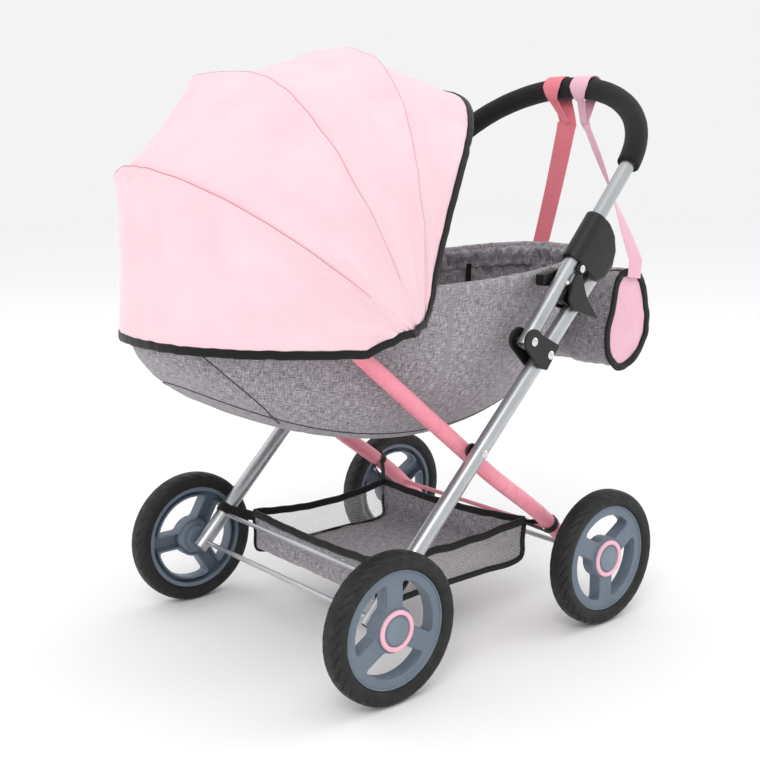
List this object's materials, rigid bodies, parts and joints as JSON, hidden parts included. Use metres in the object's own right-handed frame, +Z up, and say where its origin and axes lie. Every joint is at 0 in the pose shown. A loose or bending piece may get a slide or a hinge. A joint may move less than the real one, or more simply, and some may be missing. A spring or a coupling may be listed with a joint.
{
  "type": "doll stroller",
  "caption": "Folding doll stroller: crossed-tube chassis on spoked wheels, arched handle, carrycot with fold-down hood, basket below and a hanging bag.",
  "frame": {"origin": "on the ground plane, under the middle of the object's box", "axes": "+Z up, +Y from the hood end to the handle, +X towards the left side as seen by someone pushing it forwards, hood first"},
  "size_m": [0.3816, 0.6261, 0.6127],
  "materials": {
    "tyre": "matt black moulded tyre",
    "wheel_rim": "satin blue-grey moulded plastic",
    "pink_paint": "glossy baby pink powder coat",
    "silver_tube": "satin silver coated tube",
    "black_plastic": "satin black moulded plastic",
    "foam": "fine matt black foam",
    "steel_wire": "plain steel wire",
    "grey_fabric": "grey melange woven fabric",
    "pink_fabric": "light pink plain woven fabric",
    "strap": "pink folded fabric strap",
    "board": "plain hard board"
  },
  "bodies": {
    "leg_frame": {"front_axle": "silver_tube", "front_cross_rod": "silver_tube", "leg_tube_left": "silver_tube", "scissor_rivet_left": "black_plastic", "hinge_bracket_left": "black_plastic", "hinge_rivet_left": "silver_tube", "leg_rivet_left": "silver_tube", "leg_tube_right": "silver_tube", "scissor_rivet_right": "black_plastic", "hinge_bracket_right": "black_plastic", "hinge_rivet_right": "silver_tube", "leg_rivet_right": "silver_tube"},
    "handle": {"handle_tube": "silver_tube", "handle_grip": "foam"},
    "rear_frame": {"rear_axle": "silver_tube", "rear_cross_rod": "pink_paint", "rear_tube_left": "pink_paint", "axle_sleeve_left": "black_plastic", "rear_tube_right": "pink_paint", "axle_sleeve_right": "black_plastic"},
    "carrycot": {"carrycot_rim": "steel_wire", "carrycot_shell": "grey_fabric", "base_board": "board", "hood_gore_front": "pink_fabric", "rim_connector_left": "black_plastic", "rim_bracket_left": "black_plastic", "rim_connector_right": "black_plastic", "rim_bracket_right": "black_plastic"},
    "hood_front": {"hood_bow_front": "steel_wire", "hood_gore_middle": "pink_fabric"},
    "hood_middle": {"hood_bow_middle": "steel_wire", "hood_gore_top": "pink_fabric"},
    "hood_rear": {"hood_bow_rear": "steel_wire", "hood_gore_rear": "pink_fabric"},
    "hood_edge": {"hood_bow_edge": "steel_wire"},
    "basket": {"basket": "grey_fabric"},
    "bag": {"bag": "grey_fabric", "bag_strap_left": "strap", "bag_strap_right": "strap"},
    "wheel_front_left": {"tyre_front_left": "tyre", "rim_front_left": "wheel_rim", "hub_ring_front_left": "pink_paint", "hub_cap_front_left": "wheel_rim"},
    "wheel_front_right": {"tyre_front_right": "tyre", "rim_front_right": "wheel_rim", "hub_ring_front_right": "pink_paint", "hub_cap_front_right": "wheel_rim"},
    "wheel_rear_left": {"tyre_rear_left": "tyre", "rim_rear_left": "wheel_rim", "hub_ring_rear_left": "pink_paint", "hub_cap_rear_left": "wheel_rim"},
    "wheel_rear_right": {"tyre_rear_right": "tyre", "rim_rear_right": "wheel_rim", "hub_ring_rear_right": "pink_paint", "hub_cap_rear_right": "wheel_rim"},
    "collar_left": {"lock_collar_left": "black_plastic"},
    "lever_left": {"finger_lever_left": "black_plastic"},
    "collar_right": {"lock_collar_right": "black_plastic"},
    "lever_right": {"finger_lever_right": "black_plastic"}
  },
  "joints": [
    {"name": "handle_fold", "type": "hinge", "parent": "leg_frame", "child": "handle", "pos_m": [0, 0.04966, 0.323], "axis": [1, 0, 0], "range_deg": [0, 105], "deforming": ["carrycot_shell", "hood_gore_front", "hood_gore_middle", "hood_gore_top", "hood_gore_rear", "basket", "bag", "bag_strap_left", "bag_strap_right"]},
    {"name": "chassis_scissor", "type": "hinge", "parent": "leg_frame", "child": "rear_frame", "pos_m": [0, -0.01594, 0.2156], "axis": [1, 0, 0], "range_deg": [0, 58.38]},
    {"name": "carrycot_tilt", "type": "hinge", "parent": "handle", "child": "carrycot", "pos_m": [0, 0.10566, 0.3862], "axis": [1, 0, 0], "range_deg": [-63.73, 0]},
    {"name": "basket_lift", "type": "hinge", "parent": "leg_frame", "child": "basket", "pos_m": [0, -0.11134, 0.118], "axis": [1, 0, 0], "range_deg": [0, 35.7]},
    {"name": "spin_front_left", "type": "hinge", "parent": "leg_frame", "child": "wheel_front_left", "pos_m": [0.1785, -0.15634, 0.075], "axis": [1, 0, 0], "continuous": true},
    {"name": "spin_front_right", "type": "hinge", "parent": "leg_frame", "child": "wheel_front_right", "pos_m": [-0.1785, -0.15634, 0.075], "axis": [1, 0, 0], "continuous": true},
    {"name": "spin_rear_left", "type": "hinge", "parent": "rear_frame", "child": "wheel_rear_left", "pos_m": [0.1785, 0.14826, 0.075], "axis": [1, 0, 0], "continuous": true},
    {"name": "spin_rear_right", "type": "hinge", "parent": "rear_frame", "child": "wheel_rear_right", "pos_m": [-0.1785, 0.14826, 0.075], "axis": [1, 0, 0], "continuous": true},
    {"name": "hood_fold", "type": "hinge", "parent": "carrycot", "child": "hood_front", "pos_m": [0, -0.07934, 0.327], "axis": [1, 0, 0], "range_deg": [0, 19]},
    {"name": "hood_fold_middle", "type": "hinge", "parent": "hood_front", "child": "hood_middle", "pos_m": [0, -0.07934, 0.327], "axis": [1, 0, 0], "range_deg": [0, 19]},
    {"name": "hood_fold_rear", "type": "hinge", "parent": "hood_middle", "child": "hood_rear", "pos_m": [0, -0.07934, 0.327], "axis": [1, 0, 0], "range_deg": [0, 19]},
    {"name": "hood_fold_edge", "type": "hinge", "parent": "hood_rear", "child": "hood_edge", "pos_m": [0, -0.07934, 0.327], "axis": [1, 0, 0], "range_deg": [0, 19]},
    {"name": "bag_swing", "type": "hinge", "parent": "handle", "child": "bag", "pos_m": [0, 0.28016, 0.5846], "axis": [1, 0, 0], "range_deg": [0, 30]},
    {"name": "lock_slide_left", "type": "slide", "parent": "handle", "child": "collar_left", "axis": [0, 0.66, 0.7513], "range_m": [0, 0.016]},
    {"name": "lever_squeeze_left", "type": "hinge", "parent": "collar_left", "child": "lever_left", "pos_m": [0.163, 0.11366, 0.382], "axis": [1, 0, 0], "range_deg": [0, 15], "stiffness_Nm_per_rad": 0.02, "springref_deg": -17.19},
    {"name": "lock_slide_right", "type": "slide", "parent": "handle", "child": "collar_right", "axis": [0, 0.66, 0.7513], "range_m": [0, 0.016]},
    {"name": "lever_squeeze_right", "type": "hinge", "parent": "collar_right", "child": "lever_right", "pos_m": [-0.163, 0.11366, 0.382], "axis": [1, 0, 0], "range_deg": [0, 15], "stiffness_Nm_per_rad": 0.02, "springref_deg": -17.19}
  ],
  "couplings": [
    {"joint": "chassis_scissor", "follows": "handle_fold", "ratio": 0.556},
    {"joint": "carrycot_tilt", "follows": "handle_fold", "ratio": -0.607},
    {"joint": "basket_lift", "follows": "handle_fold", "ratio": 0.34},
    {"joint": "hood_fold_middle", "follows": "hood_fold", "ratio": 1},
    {"joint": "hood_fold_rear", "follows": "hood_fold", "ratio": 1},
    {"joint": "hood_fold_edge", "follows": "hood_fold", "ratio": 1}
  ]
}
